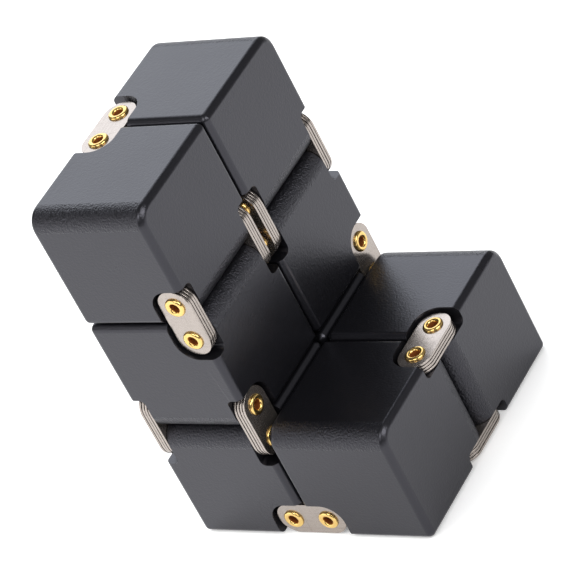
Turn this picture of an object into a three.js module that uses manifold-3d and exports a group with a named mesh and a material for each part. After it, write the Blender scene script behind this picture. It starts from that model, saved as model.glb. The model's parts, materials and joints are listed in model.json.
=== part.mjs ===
// A folding fidget cube, half unfolded into an L: eight metal blocks in one closed ring, each joined
// to the next by a double-pin hinge with a pack of link plates at each end.
// Units are millimetres and +Z is up. The origin is on the floor, under the middle of the object.
// +X points from the column towards the foot, and the object is the same on both sides of Y = 0.

import * as THREE from "three";
import { ConvexGeometry } from "three/addons/geometries/ConvexGeometry.js";
import { mergeVertices } from "three/addons/utils/BufferGeometryUtils.js";
import Module from "manifold-3d";

// Blocks
const blockSide = 19.85;
const blockGap = 0.3;
const hingeEdgeRadius = 2.85;
const edgeChamfer = 0.7;

// Hinge pins: thin tubes, flared over the outer plate at both ends
const pinRadius = 1.1;
const pinHoleRadius = 0.8;
const boreClearance = 0.08;
const headRadius = 1.6;
const headHeight = 0.45;
const headRolledEdge = 0.18;

// Link plates: one outer plate and a stack of inner plates at each end of a hinge
const plateThickness = 0.5;
const innerPlateCount = 3;
const plateInset = 0.15;
const rivetClearance = 0.03;

// Pockets that the link packs turn in
const pocketSideClearance = 0.45;
const pocketFloorClearance = 0.05;
const plateRecess = 0.55;

// Facets: on a quarter turn for block edges, on a half turn for pockets and plate ends, and on a
// full turn for pins
const edgeFacets = 6;
const pocketFacets = 10;
const plateEndFacets = 10;
const pinFacets = 12;

// How far a cutter runs past the face it cuts
const cutOverrun = 1;

// Sizes that follow from the ones above
const pitch = blockSide + blockGap;
const pinInset = hingeEdgeRadius;
const pinOffset = blockGap / 2 + pinInset;
const boreRadius = pinRadius + boreClearance;
const plateRadius = hingeEdgeRadius - plateInset;
const plateHoleRadius = pinRadius + rivetClearance;
const pocketRadius = plateRadius + pocketSideClearance;
const innerStackHeight = innerPlateCount * plateThickness;
const packHeight = innerStackHeight + plateThickness;
const pocketDepth = pocketFloorClearance + packHeight + plateRecess;
const pocketFloor = blockSide / 2 - pocketDepth;
const packStart = pocketFloor + pocketFloorClearance;
const outerPlateStart = packStart + innerStackHeight;
const headStart = packStart + packHeight;

const finishes = {
  anodised: { color: 0x3a3a3d, roughness: 0.5, metalness: 0.75 },
  steel: { color: 0xbdb2ac, roughness: 0.38, metalness: 0.95 },
  brass: { color: 0xe0b452, roughness: 0.25, metalness: 1 },
};

const alongX = new THREE.Vector3(1, 0, 0);
const alongY = new THREE.Vector3(0, 1, 0);
const alongZ = new THREE.Vector3(0, 0, 1);

// Each block's place in the grid as [column in X, row in Y, level in Z], and its three large-radius
// edges. An edge is named by the axis it runs along and by which side (0 low, 1 high) it is on
// of the other two axes, taken in X, Y, Z order.
const blocks = {
  top_front_block: { place: [0, 0, 2], largeEdges: { x: [0, 1], y: [1, 0], z: [0, 1] } },
  top_back_block: { place: [0, 1, 2], largeEdges: { x: [1, 1], y: [1, 0], z: [0, 0] } },
  middle_front_block: { place: [0, 0, 1], largeEdges: { x: [0, 0], y: [1, 1], z: [0, 1] } },
  middle_back_block: { place: [0, 1, 1], largeEdges: { x: [1, 0], y: [1, 1], z: [0, 0] } },
  base_front_block: { place: [0, 0, 0], largeEdges: { x: [0, 1], y: [1, 0], z: [0, 1] } },
  base_back_block: { place: [0, 1, 0], largeEdges: { x: [1, 1], y: [1, 0], z: [0, 0] } },
  foot_front_block: { place: [1, 0, 0], largeEdges: { x: [0, 1], y: [0, 0], z: [1, 1] } },
  foot_back_block: { place: [1, 1, 0], largeEdges: { x: [1, 1], y: [0, 0], z: [1, 0] } },
};

// The low corner of the block at a place in the grid.
function lowCorner([column, row, level]) {
  return new THREE.Vector3(
    column * pitch - blockSide - blockGap / 2,
    row * pitch - blockSide - blockGap / 2,
    level * pitch,
  );
}

// Each hinge: the two blocks it joins, the direction its pins run in, the outward direction of the
// face it lies under, and the names of its two ends and two pins, each pair from low to high along
// the direction it is spread in.
const hinges = {
  top_hinge: {
    joins: ["top_front_block", "top_back_block"],
    along: alongZ,
    outward: alongX.clone().negate(),
    ends: ["lower", "upper"],
    pins: ["front", "back"],
  },
  neck_front_hinge: {
    joins: ["middle_front_block", "top_front_block"],
    along: alongY,
    outward: alongX,
    ends: ["front", "inside"],
    pins: ["lower", "upper"],
  },
  neck_back_hinge: {
    joins: ["middle_back_block", "top_back_block"],
    along: alongY,
    outward: alongX,
    ends: ["inside", "back"],
    pins: ["lower", "upper"],
  },
  waist_front_hinge: {
    joins: ["base_front_block", "middle_front_block"],
    along: alongX,
    outward: alongY.clone().negate(),
    ends: ["left", "right"],
    pins: ["lower", "upper"],
  },
  waist_back_hinge: {
    joins: ["base_back_block", "middle_back_block"],
    along: alongX,
    outward: alongY,
    ends: ["left", "right"],
    pins: ["lower", "upper"],
  },
  ankle_front_hinge: {
    joins: ["base_front_block", "foot_front_block"],
    along: alongY,
    outward: alongZ.clone().negate(),
    ends: ["front", "inside"],
    pins: ["left", "right"],
  },
  ankle_back_hinge: {
    joins: ["base_back_block", "foot_back_block"],
    along: alongY,
    outward: alongZ.clone().negate(),
    ends: ["inside", "back"],
    pins: ["left", "right"],
  },
  foot_hinge: {
    joins: ["foot_front_block", "foot_back_block"],
    along: alongZ,
    outward: alongX,
    ends: ["lower", "upper"],
    pins: ["front", "back"],
  },
};

const wasm = await Module();
wasm.setup();

// A closed three.js geometry as a solid for booleans.
function toSolid(geometry) {
  const bare = new THREE.BufferGeometry();
  bare.setAttribute("position", geometry.getAttribute("position"));
  bare.setIndex(geometry.index);
  const merged = mergeVertices(bare, 1e-4);
  const mesh = new wasm.Mesh({
    numProp: 3,
    vertProperties: Float32Array.from(merged.attributes.position.array),
    triVerts: Uint32Array.from(merged.index.array),
  });
  return new wasm.Manifold(mesh);
}

// A solid back as a three.js geometry.
function toGeometry(solid) {
  const mesh = solid.getMesh();
  const positions = new Float32Array(mesh.numVert * 3);
  for (let i = 0; i < mesh.numVert; i++) {
    for (let k = 0; k < 3; k++) {
      positions[3 * i + k] = mesh.vertProperties[mesh.numProp * i + k];
    }
  }
  const geometry = new THREE.BufferGeometry();
  geometry.setAttribute("position", new THREE.BufferAttribute(positions, 3));
  geometry.setIndex(new THREE.BufferAttribute(Uint32Array.from(mesh.triVerts), 1));
  return geometry;
}

// A named mesh with its own material, shaded flat so that each facet shows as it is.
function named(name, geometry, finish) {
  const shown = geometry.index ? geometry.toNonIndexed() : geometry;
  shown.computeVertexNormals();
  const mesh = new THREE.Mesh(shown, new THREE.MeshStandardMaterial(finishes[finish]));
  mesh.name = name;
  return mesh;
}

// A point at distances (a, b) inside the two sides of an edge and at height h along it.
function pointAtEdge(axis, sides, a, b, h) {
  const across = [0, 1, 2].filter((k) => k !== axis);
  const values = [0, 0, 0];
  values[axis] = h;
  values[across[0]] = sides[0] ? blockSide - a : a;
  values[across[1]] = sides[1] ? blockSide - b : b;
  return new THREE.Vector3(...values);
}

// The plain body of a block with its low corner at the origin: three large-radius edges, and a
// chamfer on every other edge, which also runs round the ends of the large radii.
function blockBody(largeEdges) {
  const large = [largeEdges.x, largeEdges.y, largeEdges.z];
  const isLarge = (axis, sides) => large[axis][0] === sides[0] && large[axis][1] === sides[1];
  const points = [];
  const farInset = blockSide - edgeChamfer;
  for (let axis = 0; axis < 3; axis++) {
    const across = [0, 1, 2].filter((k) => k !== axis);
    for (const end of [0, 1]) {
      for (const sides of [[0, 0], [0, 1], [1, 0], [1, 1]]) {
        if (isLarge(axis, sides)) {
          // Round corner of the end face, and the end of the large radius below the chamfer.
          for (let i = 0; i <= edgeFacets; i++) {
            const angle = ((Math.PI / 2) * i) / edgeFacets;
            const faceReach = hingeEdgeRadius - edgeChamfer;
            const faceA = hingeEdgeRadius - faceReach * Math.cos(angle);
            const faceB = hingeEdgeRadius - faceReach * Math.sin(angle);
            const edgeA = hingeEdgeRadius * (1 - Math.cos(angle));
            const edgeB = hingeEdgeRadius * (1 - Math.sin(angle));
            points.push(pointAtEdge(axis, sides, faceA, faceB, end * blockSide));
            points.push(pointAtEdge(axis, sides, edgeA, edgeB, end ? farInset : edgeChamfer));
          }
          continue;
        }
        // Square corner of the end face, set in from each side by what that side's edge takes off.
        const insets = across.map((k, i) => {
          const runsAlong = across[1 - i];
          const others = [0, 1, 2].filter((m) => m !== runsAlong);
          const edgeSides = others.map((m) => (m === axis ? end : sides[i]));
          return isLarge(runsAlong, edgeSides) ? hingeEdgeRadius : edgeChamfer;
        });
        points.push(pointAtEdge(axis, sides, insets[0], insets[1], end * blockSide));
      }
    }
  }
  const unique = new Map();
  for (const point of points) {
    unique.set(point.toArray().map((value) => value.toFixed(4)).join(), point);
  }
  return new ConvexGeometry([...unique.values()]);
}

// A hinge's own frame: X spreads the two pins, +Y points out of the face the hinge lies under, and
// Z runs along the pins. The origin is midway between the pins and midway along them.
function hingeFrame({ joins, along, outward }) {
  const middles = joins.map((name) => {
    const half = new THREE.Vector3(blockSide / 2, blockSide / 2, blockSide / 2);
    return lowCorner(blocks[name].place).add(half);
  });
  const origin = middles[0].clone().add(middles[1]).multiplyScalar(0.5);
  origin.addScaledVector(outward, blockSide / 2 - pinInset);
  const spread = outward.clone().cross(along);
  const frame = new THREE.Matrix4().makeBasis(spread, outward, along);
  return frame.setPosition(origin);
}

// The outline of a link plate: straight sides and a round end about each pin.
function plateShape() {
  const shape = new THREE.Shape();
  shape.absarc(pinOffset, 0, plateRadius, -Math.PI / 2, Math.PI / 2, false);
  shape.absarc(-pinOffset, 0, plateRadius, Math.PI / 2, (3 * Math.PI) / 2, false);
  return shape;
}

// A link plate, or a tight stack of them, with a hole for each pin and its low face at `start`.
function plateGeometry(start, thickness) {
  // An arc is cut into twice as many lines as curveSegments says.
  const settings = { depth: thickness, bevelEnabled: false, curveSegments: plateEndFacets / 2 };
  const extruded = new THREE.ExtrudeGeometry(plateShape(), settings);
  let plate = toSolid(extruded.translate(0, 0, start));
  for (const side of [-1, 1]) {
    const reach = thickness + 2 * cutOverrun;
    const hole = new THREE.CylinderGeometry(plateHoleRadius, plateHoleRadius, reach, pinFacets);
    hole.rotateX(Math.PI / 2);
    hole.translate(side * pinOffset, 0, start + thickness / 2);
    plate = plate.subtract(toSolid(hole));
  }
  return toGeometry(plate);
}

// A hinge pin about its own axis: a tube with a rolled head at each end.
function pinGeometry() {
  const headTop = headStart + headHeight;
  const upperHalf = [
    new THREE.Vector2(pinRadius, headStart),
    new THREE.Vector2(headRadius - headRolledEdge, headStart),
    new THREE.Vector2(headRadius, headStart + headRolledEdge),
    new THREE.Vector2(headRadius - headRolledEdge, headTop),
    new THREE.Vector2(pinHoleRadius + headRolledEdge, headTop),
    new THREE.Vector2(pinHoleRadius, headTop - headRolledEdge),
  ];
  const lowerHalf = upperHalf.map((p) => new THREE.Vector2(p.x, -p.y)).reverse();
  const profile = [...lowerHalf, ...upperHalf, lowerHalf[0]];
  const lathe = new THREE.LatheGeometry(profile, pinFacets);
  // A lathe turns about Y: stand it up along Z.
  return lathe.rotateX(Math.PI / 2);
}

// The room for a link pack at one end of a hinge, through the face and the gap between the blocks.
function pocketCutter(end) {
  const shape = new THREE.Shape();
  const side = pinOffset + pocketRadius;
  const mouth = pinInset + cutOverrun;
  shape.moveTo(side, 0);
  shape.lineTo(side, mouth);
  shape.lineTo(-side, mouth);
  shape.lineTo(-side, 0);
  shape.absarc(-pinOffset, 0, pocketRadius, Math.PI, (3 * Math.PI) / 2, false);
  shape.absarc(pinOffset, 0, pocketRadius, (3 * Math.PI) / 2, 2 * Math.PI, false);
  const depth = pocketDepth + cutOverrun;
  const settings = { depth, bevelEnabled: false, curveSegments: pocketFacets / 4 };
  const cutter = new THREE.ExtrudeGeometry(shape, settings);
  return cutter.translate(0, 0, end > 0 ? pocketFloor : -pocketFloor - depth);
}

// The bore for one hinge pin.
function boreCutter(side) {
  const length = blockSide + 2 * cutOverrun;
  const bore = new THREE.CylinderGeometry(boreRadius, boreRadius, length, pinFacets);
  bore.rotateX(Math.PI / 2);
  return bore.translate(side * pinOffset, 0, 0);
}

// A block with its pockets and bores, in place.
function blockGeometry(name) {
  const { place, largeEdges } = blocks[name];
  const corner = lowCorner(place);
  const body = blockBody(largeEdges).translate(corner.x, corner.y, corner.z);
  let solid = toSolid(body);
  for (const hinge of Object.values(hinges)) {
    if (!hinge.joins.includes(name)) {
      continue;
    }
    const frame = hingeFrame(hinge);
    const cutters = [-1, 1].flatMap((side) => [pocketCutter(side), boreCutter(side)]);
    for (const cutter of cutters) {
      solid = solid.subtract(toSolid(cutter.applyMatrix4(frame)));
    }
  }
  return toGeometry(solid);
}

const fidgetCube = new THREE.Group();
fidgetCube.name = "folding_fidget_cube";

for (const name of Object.keys(blocks)) {
  fidgetCube.add(named(name, blockGeometry(name), "anodised"));
}

const outerPlate = plateGeometry(outerPlateStart, plateThickness);
const innerPlates = plateGeometry(packStart, innerStackHeight);
const pin = pinGeometry();

for (const [name, hinge] of Object.entries(hinges)) {
  const frame = hingeFrame(hinge);
  const spread = new THREE.Vector3().setFromMatrixColumn(frame, 0);
  const spreadIsPositive = spread.x + spread.y + spread.z > 0;
  const turnedEndForEnd = new THREE.Matrix4().makeRotationX(Math.PI);

  hinge.ends.forEach((end, i) => {
    const toEnd = i ? frame.clone() : frame.clone().multiply(turnedEndForEnd);
    const outer = outerPlate.clone().applyMatrix4(toEnd);
    const inner = innerPlates.clone().applyMatrix4(toEnd);
    fidgetCube.add(named(`${name}_${end}_outer_plate`, outer, "steel"));
    fidgetCube.add(named(`${name}_${end}_inner_plates`, inner, "steel"));
  });

  hinge.pins.forEach((pinName, i) => {
    const side = (i ? 1 : -1) * (spreadIsPositive ? 1 : -1);
    const placed = pin.clone().translate(side * pinOffset, 0, 0).applyMatrix4(frame);
    fidgetCube.add(named(`${name}_${pinName}_pin`, placed, "brass"));
  });
}

export default fidgetCube;
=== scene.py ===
"""Folding fidget cube: anodised blocks, packs of steel link plates and hollow brass hinge pins."""

import json
import math

import bmesh
import bpy
from bpy.props import FloatProperty, FloatVectorProperty, IntProperty, PointerProperty
from mathutils import Matrix, Vector


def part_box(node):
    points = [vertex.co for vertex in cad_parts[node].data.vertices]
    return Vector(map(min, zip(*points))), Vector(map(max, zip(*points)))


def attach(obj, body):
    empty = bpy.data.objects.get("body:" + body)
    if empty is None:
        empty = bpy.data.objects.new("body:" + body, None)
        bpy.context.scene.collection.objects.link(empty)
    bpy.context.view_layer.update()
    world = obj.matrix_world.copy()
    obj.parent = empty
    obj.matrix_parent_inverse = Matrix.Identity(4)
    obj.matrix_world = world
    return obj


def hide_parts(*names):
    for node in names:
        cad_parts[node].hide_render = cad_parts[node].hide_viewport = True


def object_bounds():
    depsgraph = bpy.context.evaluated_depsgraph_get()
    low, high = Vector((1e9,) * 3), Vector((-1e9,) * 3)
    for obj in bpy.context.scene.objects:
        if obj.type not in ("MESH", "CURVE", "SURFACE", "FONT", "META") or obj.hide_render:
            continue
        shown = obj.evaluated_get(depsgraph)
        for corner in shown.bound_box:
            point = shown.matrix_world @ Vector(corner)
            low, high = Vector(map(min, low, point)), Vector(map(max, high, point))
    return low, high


bl_info = {
    "name": "Folding Fidget Cube",
    "version": (1, 0, 0),
    "blender": (4, 5, 0),
    "location": "View3D > Sidebar > Fidget Cube",
    "description": "Builds the blocks, link plates, hinge pins and stage of a folding fidget cube",
    "category": "Add Mesh",
}

MM = 0.001

# Two places closer than this are the same place.
SAME_PLACE = 0.001 * MM

# How far a cutter passes the faces that it opens.
CUT_OVERRUN = 1 * MM

# How many flats each rounding or round shape has.
LARGE_EDGE_STEPS = 18
SHOULDER_STEPS = 4
POCKET_STEPS = 14
FILLET_STEPS = 4
PLATE_END_STEPS = 16
HEAD_STEPS = 14
BORE_FACETS = 32
HOLE_FACETS = 28
PIN_FACETS = 40

WHITE = (1.0, 1.0, 1.0)

# Each softbox's name, direction from the object, size in metres, radiance and tint.
SOFTBOXES = (
    ("back_left_softbox", (-0.6, 0.62, 0.5), 0.62, 2.0, (0.9, 0.94, 1.0)),
    ("front_left_softbox", (-0.62, -0.76, 0.25), 0.5, 1.5, WHITE),
    ("front_right_softbox", (0.78, -0.08, 0.62), 0.42, 4.2, WHITE),
    ("front_top_softbox", (0.15, -0.68, 0.72), 0.3, 4.2, WHITE),
)
SOFTBOX_DISTANCE = 0.7
WASH_DISTANCE = 0.65
WASH_SIZE = 0.9
FLOOR_REACH = 3.0

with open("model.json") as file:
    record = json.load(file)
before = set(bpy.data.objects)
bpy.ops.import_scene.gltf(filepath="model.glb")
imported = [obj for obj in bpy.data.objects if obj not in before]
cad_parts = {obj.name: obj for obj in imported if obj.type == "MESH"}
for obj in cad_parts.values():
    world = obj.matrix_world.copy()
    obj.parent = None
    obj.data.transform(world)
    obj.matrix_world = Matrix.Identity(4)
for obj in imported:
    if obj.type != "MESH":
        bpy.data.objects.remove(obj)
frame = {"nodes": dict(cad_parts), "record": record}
CAD_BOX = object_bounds()


# ---------------------------------------------------------------- facts from the frame


# Each node's lowest and highest corners, asked for once.
BOXES = {node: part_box(node) for node in frame["nodes"]}


def middle(node):
    """The middle of a node's box."""
    low, high = BOXES[node]
    return (low + high) / 2


def extent(node):
    """The size of a node's box."""
    low, high = BOXES[node]
    return high - low


def nodes_ending(ending):
    """The frame's nodes with names that end so, in order."""
    return sorted(name for name in frame["nodes"] if name.endswith(ending))


def body_of(node):
    """The body that a node belongs to."""
    bodies = frame["record"]["behaviour"]["bodies"]
    return next(body for body, members in bodies.items() if node in members)


def longest_axis(node):
    """0, 1 or 2 for the axis that a node's box is longest on."""
    size = extent(node)
    return max(range(3), key=lambda axis: size[axis])


def unit(axis, sign=1):
    """A vector that is one long on an axis."""
    vector = Vector((0, 0, 0))
    vector[axis] = sign
    return vector


def other_axes(axis):
    """The two axes that aren't this one, in order."""
    return [other for other in range(3) if other != axis]


def hinge_of(pin):
    """The name of the hinge that a pin belongs to."""
    return pin.rsplit("_", 2)[0]


BLOCKS = nodes_ending("_block")
PINS = nodes_ending("_pin")
HINGES = sorted({hinge_of(pin) for pin in PINS})


def pins_of(hinge):
    """A hinge's two pins."""
    return [pin for pin in PINS if hinge_of(pin) == hinge]


def block_around(pin):
    """The block that a pin runs through."""
    centre = middle(pin)
    for block in BLOCKS:
        low, high = BOXES[block]
        if all(low[axis] < centre[axis] < high[axis] for axis in range(3)):
            return block
    raise RuntimeError(f"no block holds {pin}")


def edge_over(pin):
    """The block edge that a pin runs under, as (axis, {other axis: 0 low or 1 high})."""
    axis = longest_axis(pin)
    centre = middle(pin)
    low, high = BOXES[block_around(pin)]
    sides = {
        other: int(centre[other] - low[other] > high[other] - centre[other])
        for other in other_axes(axis)
    }
    return axis, sides


def large_edges(block):
    """A block's three large-radius edges: its two hinge edges, and the edge that meets neither."""
    edges = [edge_over(pin) for pin in PINS if block_around(pin) == block]
    (first, first_sides), (second, second_sides) = edges
    third = next(axis for axis in range(3) if axis not in (first, second))
    edges.append((third, {first: 1 - second_sides[first], second: 1 - first_sides[second]}))
    return edges


def hinge_frame(hinge):
    """A hinge's own frame: X spreads its pins, +Y points out of the face it lies under, Z is along."""
    pins = pins_of(hinge)
    axis = longest_axis(pins[0])
    spread = (middle(pins[1]) - middle(pins[0])).normalized()
    spread_axis = max(range(3), key=lambda other: abs(spread[other]))
    out_axis = next(other for other in other_axes(axis) if other != spread_axis)
    _, sides = edge_over(pins[0])
    out = unit(out_axis, 1 if sides[out_axis] else -1)
    along = unit(axis)
    turn = Matrix((out.cross(along), out, along)).transposed().to_4x4()
    return Matrix.Translation((middle(pins[0]) + middle(pins[1])) / 2) @ turn


def pin_place(pin):
    """The turn and shift that put a shape made along Z about the origin where a pin is."""
    turn = Vector((0, 0, 1)).rotation_difference(unit(longest_axis(pin)))
    return Matrix.Translation(middle(pin)) @ turn.to_matrix().to_4x4()


FIRST_PINS = pins_of(HINGES[0])
PIN_SPACING = (middle(FIRST_PINS[1]) - middle(FIRST_PINS[0])).length
BLOCK_SIDE = extent(BLOCKS[0]).z
BLOCK_GAP = (CAD_BOX[1].z - 3 * BLOCK_SIDE) / 2
PIN_INSET = (PIN_SPACING - BLOCK_GAP) / 2
PIN_LENGTH = max(extent(PINS[0]))
OUTER_PLATE = nodes_ending("_outer_plate")[0]
PLATE_WIDTH = sorted(extent(OUTER_PLATE))[1]
PLATE_THICKNESS = min(extent(OUTER_PLATE))


# ---------------------------------------------------------------- settings


def length(name, description, default):
    """A length that a user may set, in metres."""
    return FloatProperty(
        name=name, description=description, default=default, min=0.0, precision=5,
        subtype="DISTANCE", unit="LENGTH",
    )


def colour(name, description, default):
    """A colour that a user may set."""
    return FloatVectorProperty(
        name=name, description=description, default=default, size=3, min=0.0, max=1.0,
        subtype="COLOR",
    )


def number(name, description, default):
    """A plain number that a user may set."""
    return FloatProperty(name=name, description=description, default=default, min=0.0)


def angle(name, description, degrees):
    """An angle that a user may set, given here in degrees."""
    return FloatProperty(
        name=name, description=description, default=math.radians(degrees), subtype="ANGLE",
    )


class BlockSettings(bpy.types.PropertyGroup):
    """Sizes and finish of the anodised blocks."""

    edge_radius: length("Large edge radius", "Radius of the hinge edges, about the pins", PIN_INSET)
    chamfer: length("Chamfer", "How far the chamfer on the other edges reaches", 0.7 * MM)
    shoulder: length("Chamfer shoulder", "Rounding where a chamfer meets a face", 0.3 * MM)
    softness: length("Softened edge", "Rounding that blasting leaves on a cut edge", 0.09 * MM)
    pocket_depth: length("Pocket depth", "Depth of a link pocket from the end face", 2.6 * MM)
    pocket_radius: length("Pocket radius", "Round corner of a pocket, about the pin", 3.15 * MM)
    pocket_fillet: length("Pocket fillet", "Fillet that the cutter leaves round a pocket's floor", 0.75 * MM)
    bore_radius: length("Bore radius", "Radius of the hinge pin bores", 1.18 * MM)
    tint: colour("Tint", "Black dye in the oxide layer", (0.006, 0.006, 0.0075))
    grain_size: length("Grain size", "Width of one blasting dimple", 0.3 * MM)
    flat_grain: length("Grain on flats", "Depth of the dimples on flats and chamfers", 0.03 * MM)
    edge_grain: length("Grain on edges", "Depth of the dimples on the large edges", 0.17 * MM)


class LinkSettings(bpy.types.PropertyGroup):
    """Sizes and finish of the link plates."""

    inner_plates: IntProperty(
        name="Inner plates", description="Plates under the outer one in a pack", default=3, min=1
    )
    air: length("Air between plates", "The fine gap that shows as a dark line", 0.12 * MM)
    edge_round: length("Edge round", "Rounding of a plate's edges after tumbling", 0.05 * MM)
    hole_radius: length("Hole radius", "Radius of the pin holes", 1.13 * MM)
    stagger: length("Stagger", "How far a plate may sit out of line with its neighbours", 0.035 * MM)
    grain_depth: length("Grain depth", "Depth of the marks from tumbling", 0.004 * MM)
    tint: colour("Tint", "Warm grey of the plates", (0.44, 0.39, 0.355))


class PinSettings(bpy.types.PropertyGroup):
    """Sizes and finish of the brass pins."""

    radius: length("Radius", "Outer radius of the tube", 1.1 * MM)
    hole_radius: length("Hole radius", "Inner radius of the tube", 0.72 * MM)
    head_radius: length("Head radius", "Outer radius of the rolled head", 1.54 * MM)
    head_seat: length("Head seat", "From the pin's end down to the plate under the head", 0.5 * MM)
    head_height: length("Head height", "How far the rolled head stands over the plate", 0.4 * MM)
    head_curl: length("Head curl", "How far a head's rim draws in on its underside", 0.08 * MM)
    head_press: length("Head press", "How far a head sinks into the plate under it", 0.005 * MM)
    edge_round: length("Edge round", "Rounding of a head's outer corners", 0.04 * MM)
    waviness: length("Waviness", "Depth of the waves from the rolling tool", 0.006 * MM)
    tint: colour("Tint", "Bright brass", (0.92, 0.63, 0.22))
    # Painted shade: a darker, redder brass that stands for the shade and warm inner reflection inside the
    # tube.
    inside_shade_tint: colour("Inside tint", "Darker, redder brass inside the tube: painted shade and inner reflection", (0.42, 0.13, 0.03))


class StageSettings(bpy.types.PropertyGroup):
    """Camera, lights and floor."""

    azimuth: angle("Azimuth", "Camera's turn round the object from the front", 44.25)
    elevation: angle("Elevation", "Camera's height over the horizon", 32.26)
    roll: angle("Roll", "Camera's turn about its own line of sight", 28.34)
    distance: length("Distance", "From the camera to the point it aims at", 508 * MM)
    aim: FloatVectorProperty(
        name="Aim", description="The point that the camera looks at", size=3,
        default=(-0.42 * MM, -0.77 * MM, 29.6 * MM), subtype="XYZ", unit="LENGTH",
    )
    lens: number("Lens", "Focal length in millimetres", 224.5)
    sky: number("Sky", "Strength of the even white sky", 0.2)
    wash: number("Wash", "Radiance of the light that only the floor gets", 2.35)
    floor_tint: colour("Floor tint", "Plain pale floor", (0.93, 0.93, 0.93))
    floor_lift: number("Floor lift", "White added to the floor where it is seen directly", 0.28)


# ---------------------------------------------------------------- shader helpers


def link(tree, source, target):
    """Joins an output socket to an input socket."""
    tree.links.new(source, target)


def group_input(group, kind, name, default):
    """A named input of a node group."""
    socket = group.interface.new_socket(name=name, in_out="INPUT", socket_type=kind)
    socket.default_value = default


def surface_grain_group():
    """Fine dimples and a slow cloudiness, both on the piece's own coordinates."""
    group = bpy.data.node_groups.new("surface_grain", "ShaderNodeTree")
    group_input(group, "NodeSocketFloat", "Dimples per Metre", 6000.0)
    group_input(group, "NodeSocketFloat", "Clouds per Metre", 120.0)
    group_input(group, "NodeSocketFloat", "Cloud Low", 0.4)
    group_input(group, "NodeSocketFloat", "Cloud High", 0.6)
    group.interface.new_socket(name="Height", in_out="OUTPUT", socket_type="NodeSocketFloat")
    group.interface.new_socket(name="Cloud", in_out="OUTPUT", socket_type="NodeSocketFloat")
    nodes = group.nodes
    start = nodes.new("NodeGroupInput")
    end = nodes.new("NodeGroupOutput")
    place = nodes.new("ShaderNodeTexCoord")
    dimples = nodes.new("ShaderNodeTexNoise")
    dimples.inputs["Detail"].default_value = 2.0
    dimples.inputs["Roughness"].default_value = 0.6
    clouds = nodes.new("ShaderNodeTexNoise")
    clouds.inputs["Detail"].default_value = 4.0
    spread = nodes.new("ShaderNodeMapRange")
    spread.inputs["From Min"].default_value = 0.3
    spread.inputs["From Max"].default_value = 0.7
    link(group, place.outputs["Object"], dimples.inputs["Vector"])
    link(group, start.outputs["Dimples per Metre"], dimples.inputs["Scale"])
    link(group, place.outputs["Object"], clouds.inputs["Vector"])
    link(group, start.outputs["Clouds per Metre"], clouds.inputs["Scale"])
    link(group, clouds.outputs["Fac"], spread.inputs["Value"])
    link(group, start.outputs["Cloud Low"], spread.inputs["To Min"])
    link(group, start.outputs["Cloud High"], spread.inputs["To Max"])
    link(group, dimples.outputs["Fac"], end.inputs["Height"])
    link(group, spread.outputs["Result"], end.inputs["Cloud"])
    return group


def fine_scratches_group():
    """Thin hairline marks in three directions, as tumbled or handled metal has."""
    group = bpy.data.node_groups.new("fine_scratches", "ShaderNodeTree")
    group_input(group, "NodeSocketFloat", "Scratches per Metre", 900.0)
    group_input(group, "NodeSocketFloat", "Threshold", 0.62)
    group.interface.new_socket(name="Mask", in_out="OUTPUT", socket_type="NodeSocketFloat")
    nodes = group.nodes
    start = nodes.new("NodeGroupInput")
    end = nodes.new("NodeGroupOutput")
    place = nodes.new("ShaderNodeTexCoord")
    total = None
    for turn, stretch in ((0.5, (1, 1, 0.06)), (1.9, (0.06, 1, 1)), (2.7, (1, 0.06, 1))):
        mapping = nodes.new("ShaderNodeMapping")
        mapping.inputs["Rotation"].default_value = (turn, turn * 0.7, turn * 1.3)
        mapping.inputs["Scale"].default_value = stretch
        hairs = nodes.new("ShaderNodeTexNoise")
        hairs.inputs["Detail"].default_value = 1.0
        link(group, place.outputs["Object"], mapping.inputs["Vector"])
        link(group, mapping.outputs["Vector"], hairs.inputs["Vector"])
        link(group, start.outputs["Scratches per Metre"], hairs.inputs["Scale"])
        over = nodes.new("ShaderNodeMapRange")
        link(group, hairs.outputs["Fac"], over.inputs["Value"])
        link(group, start.outputs["Threshold"], over.inputs["From Min"])
        over.inputs["From Max"].default_value = 0.8
        if total is None:
            total = over.outputs["Result"]
            continue
        most = nodes.new("ShaderNodeMath")
        most.operation = "MAXIMUM"
        link(group, total, most.inputs[0])
        link(group, over.outputs["Result"], most.inputs[1])
        total = most.outputs["Value"]
    link(group, total, end.inputs["Mask"])
    return group


def group_node(tree, group, **values):
    """A node group placed in a material, with its inputs set by name."""
    node = tree.nodes.new("ShaderNodeGroup")
    node.node_tree = group
    for name, value in values.items():
        node.inputs[name.replace("_", " ")].default_value = value
    return node


def new_material(name):
    """A material with its tree, its Principled shader and nothing else."""
    material = bpy.data.materials.new(name)
    material.use_nodes = True
    tree = material.node_tree
    return material, tree, tree.nodes["Principled BSDF"]


def tint_between(tree, mask, first, second):
    """A colour that goes from the first to the second with a mask."""
    mix = tree.nodes.new("ShaderNodeMix")
    mix.data_type = "RGBA"
    mix.inputs["A"].default_value = (*first, 1)
    mix.inputs["B"].default_value = (*second, 1)
    link(tree, mask, mix.inputs["Factor"])
    return mix.outputs["Result"]


def scaled(tint, share):
    """A colour made darker or lighter."""
    return [min(1.0, value * share) for value in tint]


def bump(tree, height, distance):
    """A bump node of a real depth."""
    node = tree.nodes.new("ShaderNodeBump")
    node.inputs["Strength"].default_value = 1.0
    node.inputs["Distance"].default_value = distance
    link(tree, height, node.inputs["Height"])
    return node.outputs["Normal"]


# ---------------------------------------------------------------- materials


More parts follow.
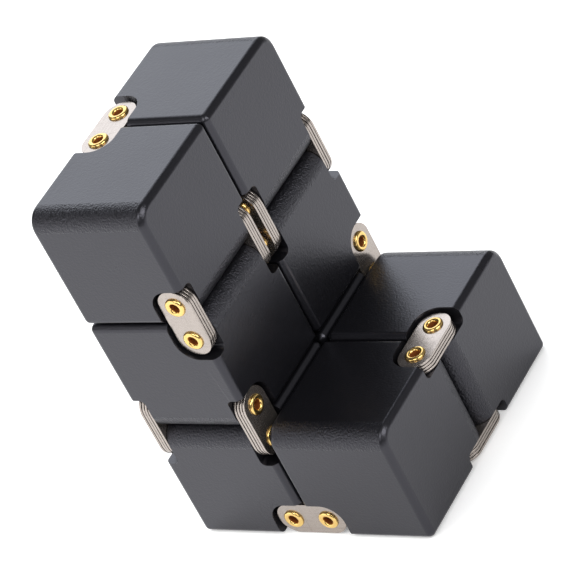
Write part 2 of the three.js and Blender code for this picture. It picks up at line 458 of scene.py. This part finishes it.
def anodised_material(name, settings, grain, depth):
    """Black anodising over blasted metal: a dimpled oxide that shines like a glaze, not like metal."""
    material, tree, shader = new_material(name)
    surface = group_node(
        tree, grain, Dimples_per_Metre=1 / settings.grain_size, Clouds_per_Metre=90.0,
        Cloud_Low=0.27, Cloud_High=0.32,
    )
    tint = tint_between(
        tree, surface.outputs["Height"], scaled(settings.tint, 0.7), scaled(settings.tint, 1.3)
    )
    link(tree, tint, shader.inputs["Base Color"])
    link(tree, surface.outputs["Cloud"], shader.inputs["Roughness"])
    link(tree, bump(tree, surface.outputs["Height"], depth), shader.inputs["Normal"])
    shader.inputs["IOR"].default_value = 1.6
    shader.inputs["Specular Tint"].default_value = (0.885, 0.875, 1.0, 1.0)
    return material


def plate_material(settings, grain, scratches):
    """Stamped and tumbled link plate: warm grey, softly shining, with hairlines."""
    material, tree, shader = new_material("tumbled_steel")
    surface = group_node(
        tree, grain, Dimples_per_Metre=3500.0, Clouds_per_Metre=420.0,
        Cloud_Low=0.14, Cloud_High=0.24,
    )
    marks = group_node(tree, scratches, Scratches_per_Metre=2500.0, Threshold=0.55)
    tint = tint_between(
        tree, marks.outputs["Mask"], settings.tint, scaled(settings.tint, 0.85)
    )
    link(tree, tint, shader.inputs["Base Color"])
    link(tree, surface.outputs["Cloud"], shader.inputs["Roughness"])
    normal = bump(tree, surface.outputs["Height"], settings.grain_depth)
    link(tree, normal, shader.inputs["Normal"])
    shader.inputs["Metallic"].default_value = 0.9
    return material


def brass_material(name, tint, grain, waviness, low, high, metallic=1.0):
    """Polished brass with a little waviness from the rolling tool."""
    material, tree, shader = new_material(name)
    surface = group_node(
        tree, grain, Dimples_per_Metre=2500.0, Clouds_per_Metre=900.0,
        Cloud_Low=low, Cloud_High=high,
    )
    shade = tint_between(tree, surface.outputs["Cloud"], tint, scaled(tint, 0.8))
    link(tree, shade, shader.inputs["Base Color"])
    link(tree, surface.outputs["Cloud"], shader.inputs["Roughness"])
    link(tree, bump(tree, surface.outputs["Height"], waviness), shader.inputs["Normal"])
    shader.inputs["Metallic"].default_value = metallic
    return material


def floor_material(settings):
    """Plain pale matt floor with a faint paper-like unevenness, lifted where it is seen directly."""
    material, tree, shader = new_material("pale_floor")
    place = tree.nodes.new("ShaderNodeTexCoord")
    noise = tree.nodes.new("ShaderNodeTexNoise")
    noise.inputs["Scale"].default_value = 3.0
    link(tree, place.outputs["Object"], noise.inputs["Vector"])
    tint = tint_between(
        tree, noise.outputs["Fac"], scaled(settings.floor_tint, 0.99), settings.floor_tint
    )
    link(tree, tint, shader.inputs["Base Color"])
    ray = tree.nodes.new("ShaderNodeLightPath")
    link(tree, ray.outputs["Is Camera Ray"], shader.inputs["Emission Color"])
    shader.inputs["Emission Strength"].default_value = settings.floor_lift
    shader.inputs["Roughness"].default_value = 0.9
    return material


# ---------------------------------------------------------------- mesh helpers


def box_mesh(low, high):
    """A bmesh box between two corners."""
    bm = bmesh.new()
    bmesh.ops.create_cube(bm, size=1.0)
    size = Vector(high) - Vector(low)
    bmesh.ops.scale(bm, vec=size, verts=bm.verts)
    bmesh.ops.translate(bm, vec=(Vector(high) + Vector(low)) / 2, verts=bm.verts)
    return bm


def bevel(bm, edges, offset, segments):
    """Bevels some edges."""
    bmesh.ops.bevel(
        bm, geom=edges, offset=offset, offset_type="OFFSET", segments=segments, profile=0.5,
        affect="EDGES", material=-1, clamp_overlap=False,
    )


def sharp_edges(bm, least_degrees):
    """The edges that turn by more than some degrees."""
    bm.normal_update()
    least = math.radians(least_degrees)
    return [edge for edge in bm.edges if edge.calc_face_angle(0.0) > least]


def add_object(name, data):
    """A new object in the scene."""
    made = bpy.data.objects.new(name, data)
    bpy.context.scene.collection.objects.link(made)
    return made


def discard(made):
    """Removes an object and its mesh."""
    mesh = made.data
    bpy.data.objects.remove(made)
    bpy.data.meshes.remove(mesh)


def object_from(bm, name):
    """A linked object that holds a bmesh, which is freed."""
    bmesh.ops.recalc_face_normals(bm, faces=bm.faces)
    mesh = bpy.data.meshes.new(name)
    bm.to_mesh(mesh)
    bm.free()
    return add_object(name, mesh)


def cut(target, cutter):
    """Cuts one object's shape out of another's mesh, and removes the cutter."""
    modifier = target.modifiers.new("cut", "BOOLEAN")
    modifier.operation = "DIFFERENCE"
    modifier.solver = "EXACT"
    modifier.object = cutter
    bpy.context.view_layer.update()
    made = bpy.data.meshes.new_from_object(
        target.evaluated_get(bpy.context.evaluated_depsgraph_get())
    )
    target.modifiers.clear()
    spent = target.data
    target.data = made
    bpy.data.meshes.remove(spent)
    discard(cutter)


def cylinder_mesh(radius, depth, segments):
    """A bmesh cylinder along Z about the origin."""
    bm = bmesh.new()
    bmesh.ops.create_cone(
        bm, cap_ends=True, segments=segments, radius1=radius, radius2=radius, depth=depth
    )
    return bm


def mark_large_edges(made, block, reach):
    """Gives the faces of a block's three large-radius edges the second material."""
    # A face is flat when its normal keeps this much to one axis, and belongs to an end face when
    # its normal has more than this much along the edge.
    flat = 0.9995
    end_on = 0.1
    corners = BOXES[block]
    edges = large_edges(block)
    for polygon in made.data.polygons:
        if max(map(abs, polygon.normal)) >= flat:
            continue
        for axis, sides in edges:
            near = all(
                abs(polygon.center[other] - corners[side][other]) < reach
                for other, side in sides.items()
            )
            if near and abs(polygon.normal[axis]) < end_on:
                polygon.material_index = 1


def soften(made, width, segments=2):
    """A small live bevel on every sharp edge, and normals that keep the large faces flat."""
    least_degrees = 28
    large_face_weight = 90
    rounded = made.modifiers.new("softened_edges", "BEVEL")
    rounded.width = width
    rounded.segments = segments
    rounded.limit_method = "ANGLE"
    rounded.angle_limit = math.radians(least_degrees)
    rounded.use_clamp_overlap = True
    flattened = made.modifiers.new("flat_faces", "WEIGHTED_NORMAL")
    flattened.mode = "FACE_AREA"
    flattened.weight = large_face_weight
    made.data.polygons.foreach_set("use_smooth", [True] * len(made.data.polygons))
    made.data.update()


def settle(made, node, materials):
    """Gives a piece its materials and body, and lets it stand for its CAD node."""
    for material in materials:
        made.data.materials.append(material)
    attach(made, body_of(node))
    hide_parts(node)


# ---------------------------------------------------------------- blocks


def block_body(block, settings):
    """The block before its pockets: three large radii and a chamfer on every other edge."""
    corners = BOXES[block]
    bm = box_mesh(*corners)
    for _, sides in large_edges(block):
        edges = [
            edge for edge in bm.edges
            if all(
                abs(vert.co[axis] - corners[side][axis]) < SAME_PLACE
                for vert in edge.verts
                for axis, side in sides.items()
            )
        ]
        bevel(bm, edges, settings.edge_radius, LARGE_EDGE_STEPS)
    square_edges = sharp_edges(bm, least_degrees=60)
    bevel(bm, square_edges, settings.chamfer, segments=1)
    chamfer_sides = sharp_edges(bm, least_degrees=30)
    bevel(bm, chamfer_sides, settings.shoulder, SHOULDER_STEPS)
    return object_from(bm, block.replace("_block", "_body"))


def pocket_cutter(hinge, settings):
    """Both end pockets of a hinge, as one shape in two parts."""
    radius = settings.pocket_radius
    reach = PIN_SPACING / 2 + radius
    outer = BLOCK_SIDE / 2 + CUT_OVERRUN
    inner = BLOCK_SIDE / 2 - settings.pocket_depth
    whole = bmesh.new()
    for low_z, high_z in ((-outer, -inner), (inner, outer)):
        bm = box_mesh((-reach, -radius, low_z), (reach, PIN_INSET + CUT_OVERRUN, high_z))
        corners = [
            edge for edge in bm.edges
            if all(abs(vert.co.y + radius) < SAME_PLACE for vert in edge.verts)
            and abs(edge.verts[0].co.x - edge.verts[1].co.x) < SAME_PLACE
        ]
        bevel(bm, corners, radius, POCKET_STEPS)
        floor = low_z if low_z > 0 else high_z
        # A rim edge lies on the floor and has a wall on one side.
        rim = [
            edge for edge in bm.edges
            if all(abs(vert.co.z - floor) < SAME_PLACE for vert in edge.verts)
            and any(abs(face.normal.z) < 0.5 for face in edge.link_faces)
        ]
        bevel(bm, rim, settings.pocket_fillet, FILLET_STEPS)
        part = bpy.data.meshes.new("part")
        bm.to_mesh(part)
        bm.free()
        whole.from_mesh(part)
        bpy.data.meshes.remove(part)
    bmesh.ops.transform(whole, matrix=hinge_frame(hinge), verts=whole.verts)
    return object_from(whole, "pocket_cutter")


def bore_cutter(pin, settings):
    """The bore for one pin."""
    bm = cylinder_mesh(settings.bore_radius, BLOCK_SIDE + 2 * CUT_OVERRUN, BORE_FACETS)
    bmesh.ops.transform(bm, matrix=pin_place(pin), verts=bm.verts)
    return object_from(bm, "bore_cutter")


def make_block(block, settings, materials):
    """One block, whole, in place."""
    made = block_body(block, settings)
    for pin in PINS:
        if block_around(pin) != block:
            continue
        cut(made, pocket_cutter(hinge_of(pin), settings))
        cut(made, bore_cutter(pin, settings))
    mark_large_edges(made, block, settings.edge_radius)
    soften(made, settings.softness)
    settle(made, block, materials)


# ---------------------------------------------------------------- link plates


def plate_template(settings):
    """One link plate in a hinge's own frame, middle on the origin, ready to copy."""
    radius = PLATE_WIDTH / 2
    half = Vector((PIN_SPACING / 2 + radius, radius, (PLATE_THICKNESS - settings.air) / 2))
    bm = box_mesh(-half, half)
    upright = [
        edge for edge in bm.edges
        if abs(edge.verts[0].co.z - edge.verts[1].co.z) > SAME_PLACE
    ]
    # A bevel of the whole radius would fold onto itself, so it stops just short and is merged.
    just_short = 0.9999
    bevel(bm, upright, radius * just_short, PLATE_END_STEPS)
    bmesh.ops.remove_doubles(bm, verts=bm.verts, dist=SAME_PLACE)
    template = object_from(bm, "plate_template")
    for side in (-1, 1):
        hole = cylinder_mesh(settings.hole_radius, 4 * PLATE_THICKNESS, HOLE_FACETS)
        bmesh.ops.translate(hole, vec=(side * PIN_SPACING / 2, 0, 0), verts=hole.verts)
        cut(template, object_from(hole, "hole_cutter"))
    return template


def stagger(count, step):
    """A small fixed offset that differs from plate to plate."""
    # These two turns share no short cycle, so neighbours never line up.
    across_turn = 2.4
    up_turn = 1.7
    return Vector((math.sin(count * across_turn), math.cos(count * up_turn), 0)) * step


def make_plate(name, node, template, place, settings, materials):
    """A copy of the template, in place."""
    bm = bmesh.new()
    bm.from_mesh(template.data)
    bmesh.ops.transform(bm, matrix=place, verts=bm.verts)
    made = object_from(bm, name)
    soften(made, settings.edge_round)
    settle(made, node, materials)


def make_packs(hinge, template, settings, materials, count):
    """All the plates at both ends of a hinge. Counts the inner ones, and returns the count."""
    turn = hinge_frame(hinge).to_3x3().to_4x4()
    along = turn.col[2].to_3d()
    for outer in nodes_ending("_outer_plate"):
        if not outer.startswith(hinge + "_"):
            continue
        pack = outer.removesuffix("_outer_plate")
        inner = pack + "_inner_plates"
        centre = middle(outer)
        inward = along if along.dot(middle(inner) - centre) > 0 else -along
        place = Matrix.Translation(centre) @ turn
        make_plate(pack + "_outer_link_plate", outer, template, place, settings, materials)
        for step in range(1, settings.inner_plates + 1):
            count += 1
            shift = inward * (PLATE_THICKNESS * step) + turn @ stagger(count, settings.stagger)
            place = Matrix.Translation(centre + shift) @ turn
            name = f"{pack}_inner_link_plate_{step}"
            make_plate(name, inner, template, place, settings, materials)
    return count


# ---------------------------------------------------------------- hinge pins


def pin_profile(settings):
    """Half of the pin's section as (radius, height) points, from the hole to the tube's outside."""
    seat = PIN_LENGTH / 2 - settings.head_seat
    underside = seat - settings.head_press
    crown = (settings.hole_radius + settings.head_radius) / 2
    reach = settings.head_radius - crown
    # Below 1, the head is fuller than half an ellipse.
    fullness = 0.8
    points = []
    for step in range(HEAD_STEPS + 1):
        turn = math.pi * (1 - step / HEAD_STEPS)
        swell = abs(math.sin(turn)) ** fullness
        points.append((crown + reach * math.cos(turn), seat + settings.head_height * swell))
    points.append((settings.head_radius - settings.head_curl, underside))
    points.append((settings.radius, underside))
    return points


def paint_inside_shade(bm, settings):
    """Gives the faces inside the tube, up to a little way into the heads, the second material: a darker,
    redder brass that paints the shade and warm inner reflection of the bore.
    """
    share_of_head = 0.2
    margin = 1.02
    highest = PIN_LENGTH / 2 - settings.head_seat + settings.head_height * share_of_head
    widest = settings.hole_radius * margin
    for face in bm.faces:
        centre = face.calc_center_median()
        inside = math.hypot(centre.x, centre.y) < widest and abs(centre.z) < highest
        face.material_index = 1 if inside else 0


def make_pin(pin, settings, materials):
    """One hollow pin with a rolled head at each end."""
    upper = pin_profile(settings)
    lower = [(radius, -height) for radius, height in reversed(upper)]
    bm = bmesh.new()
    ring = [bm.verts.new((radius, 0, height)) for radius, height in upper + lower]
    edges = [bm.edges.new((ring[step - 1], ring[step])) for step in range(len(ring))]
    bmesh.ops.spin(
        bm, geom=ring + edges, cent=(0, 0, 0), axis=(0, 0, 1), angle=math.tau, steps=PIN_FACETS,
        use_merge=True, use_duplicate=False,
    )
    bmesh.ops.remove_doubles(bm, verts=bm.verts, dist=SAME_PLACE)
    bmesh.ops.recalc_face_normals(bm, faces=bm.faces)
    paint_inside_shade(bm, settings)
    bmesh.ops.transform(bm, matrix=pin_place(pin), verts=bm.verts)
    made = object_from(bm, pin.replace("_pin", "_hollow_pin"))
    soften(made, settings.edge_round, segments=1)
    settle(made, pin, materials)


# ---------------------------------------------------------------- stage


def make_floor(settings):
    """A large pale floor under the object."""
    bm = bmesh.new()
    bmesh.ops.create_grid(bm, x_segments=2, y_segments=2, size=FLOOR_REACH)
    bmesh.ops.translate(bm, vec=(0, 0, CAD_BOX[0].z), verts=bm.verts)
    floor = object_from(bm, "floor")
    floor.data.materials.append(floor_material(settings))
    return floor


def softbox(name, direction, size, radiance, tint=WHITE, distance=SOFTBOX_DISTANCE):
    """A soft square light that faces the object and shows in its gloss."""
    lamp = bpy.data.lights.new(name, "AREA")
    lamp.shape = "SQUARE"
    lamp.size = size
    lamp.energy = radiance * math.pi * size * size
    lamp.color = tint
    made = add_object(name, lamp)
    towards = Vector(direction).normalized()
    made.location = (CAD_BOX[0] + CAD_BOX[1]) / 2 + towards * distance
    made.rotation_mode = "QUATERNION"
    made.rotation_quaternion = towards.to_track_quat("Z", "Y")
    return made


def make_lights(settings, floor):
    """A dim even sky, four softboxes, and a wash that lights only the floor."""
    world = bpy.data.worlds.new("dim_sky")
    world.use_nodes = True
    sky = world.node_tree.nodes["Background"]
    sky.inputs["Color"].default_value = (*WHITE, 1)
    sky.inputs["Strength"].default_value = settings.sky
    bpy.context.scene.world = world
    for name, direction, size, radiance, tint in SOFTBOXES:
        softbox(name, direction, size, radiance, tint)
    wash = softbox(
        "floor_wash", (-0.48, -0.1, 0.87), WASH_SIZE, settings.wash, distance=WASH_DISTANCE
    )
    wash.visible_glossy = False
    only_floor = bpy.data.collections.new("washed_floor")
    only_floor.objects.link(floor)
    wash.light_linking.receiver_collection = only_floor


def make_camera(settings):
    """The camera, turned about its own line of sight."""
    data = bpy.data.cameras.new("camera")
    data.lens = settings.lens
    data.sensor_width = 36.0
    data.clip_start = 0.01
    data.clip_end = 20.0
    camera = add_object("camera", data)
    across = math.cos(settings.elevation)
    back = Vector((
        math.sin(settings.azimuth) * across,
        -math.cos(settings.azimuth) * across,
        math.sin(settings.elevation),
    ))
    camera.location = Vector(settings.aim) + back * settings.distance
    camera.rotation_mode = "QUATERNION"
    upright = (-back).to_track_quat("-Z", "Y")
    rolled = Matrix.Rotation(-settings.roll, 4, "Z").to_quaternion()
    camera.rotation_quaternion = upright @ rolled
    bpy.context.scene.camera = camera


# ---------------------------------------------------------------- operators and panel


def shared_group(name, build):
    """A node group by name, built the first time."""
    return bpy.data.node_groups.get(name) or build()


def grain_and_scratches():
    """The two shared surface effects."""
    grain = shared_group("surface_grain", surface_grain_group)
    return grain, shared_group("fine_scratches", fine_scratches_group)


class FIDGET_OT_blocks(bpy.types.Operator):
    """Build the eight anodised blocks"""

    bl_idname = "fidget.blocks"
    bl_label = "Blocks"

    def execute(self, context):
        settings = context.scene.fidget_blocks
        grain, _ = grain_and_scratches()
        materials = [
            anodised_material("black_anodised_flats", settings, grain, settings.flat_grain),
            anodised_material("black_anodised_edges", settings, grain, settings.edge_grain),
        ]
        for block in BLOCKS:
            make_block(block, settings, materials)
        return {"FINISHED"}


class FIDGET_OT_link_plates(bpy.types.Operator):
    """Build the packs of link plates"""

    bl_idname = "fidget.link_plates"
    bl_label = "Link plates"

    def execute(self, context):
        settings = context.scene.fidget_links
        material = plate_material(settings, *grain_and_scratches())
        template = plate_template(settings)
        count = 0
        for hinge in HINGES:
            count = make_packs(hinge, template, settings, [material], count)
        discard(template)
        return {"FINISHED"}


class FIDGET_OT_pins(bpy.types.Operator):
    """Build the hollow brass hinge pins"""

    bl_idname = "fidget.pins"
    bl_label = "Hinge pins"

    def execute(self, context):
        settings = context.scene.fidget_pins
        grain, _ = grain_and_scratches()
        waves = settings.waviness
        bright = brass_material("bright_brass", settings.tint, grain, waves, 0.14, 0.26)
        # The inside of each tube gets a darker, redder copy of the brass: painted shade and inner reflection
        # of the bore.
        inside_shade_brass = brass_material(
            "painted_shade_brass", settings.inside_shade_tint, grain, waves, 0.4, 0.5, metallic=0.4
        )
        for pin in PINS:
            make_pin(pin, settings, [bright, inside_shade_brass])
        return {"FINISHED"}


class FIDGET_OT_stage(bpy.types.Operator):
    """Build the floor, the lights and the camera"""

    bl_idname = "fidget.stage"
    bl_label = "Stage"

    def execute(self, context):
        settings = context.scene.fidget_stage
        make_lights(settings, make_floor(settings))
        make_camera(settings)
        context.scene.view_settings.view_transform = "Standard"
        return {"FINISHED"}


class FIDGET_PT_panel(bpy.types.Panel):
    """The steps and settings of the folding fidget cube"""

    bl_idname = "FIDGET_PT_panel"
    bl_label = "Folding Fidget Cube"
    bl_space_type = "VIEW_3D"
    bl_region_type = "UI"
    bl_category = "Fidget Cube"

    def draw(self, context):
        layout = self.layout
        scene = context.scene
        for operator, settings in (
            (FIDGET_OT_blocks, scene.fidget_blocks),
            (FIDGET_OT_link_plates, scene.fidget_links),
            (FIDGET_OT_pins, scene.fidget_pins),
            (FIDGET_OT_stage, scene.fidget_stage),
        ):
            box = layout.box()
            box.operator(operator.bl_idname)
            for name in settings.__annotations__:
                box.prop(settings, name)


SETTINGS = {
    "fidget_blocks": BlockSettings,
    "fidget_links": LinkSettings,
    "fidget_pins": PinSettings,
    "fidget_stage": StageSettings,
}
OPERATORS = (FIDGET_OT_blocks, FIDGET_OT_link_plates, FIDGET_OT_pins, FIDGET_OT_stage)


def register():
    """Registers the classes and hangs the settings on the scene."""
    for cls in (*SETTINGS.values(), *OPERATORS, FIDGET_PT_panel):
        bpy.utils.register_class(cls)
    for name, cls in SETTINGS.items():
        setattr(bpy.types.Scene, name, PointerProperty(type=cls))


def unregister():
    """Takes all of it away again."""
    for name in SETTINGS:
        delattr(bpy.types.Scene, name)
    for cls in (FIDGET_PT_panel, *reversed(OPERATORS), *reversed(list(SETTINGS.values()))):
        bpy.utils.unregister_class(cls)


def main():
    """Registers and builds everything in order."""
    register()
    bpy.ops.fidget.blocks()
    bpy.ops.fidget.link_plates()
    bpy.ops.fidget.pins()
    bpy.ops.fidget.stage()
    bpy.context.view_layer.update()


if __name__ == "__main__":
    main()
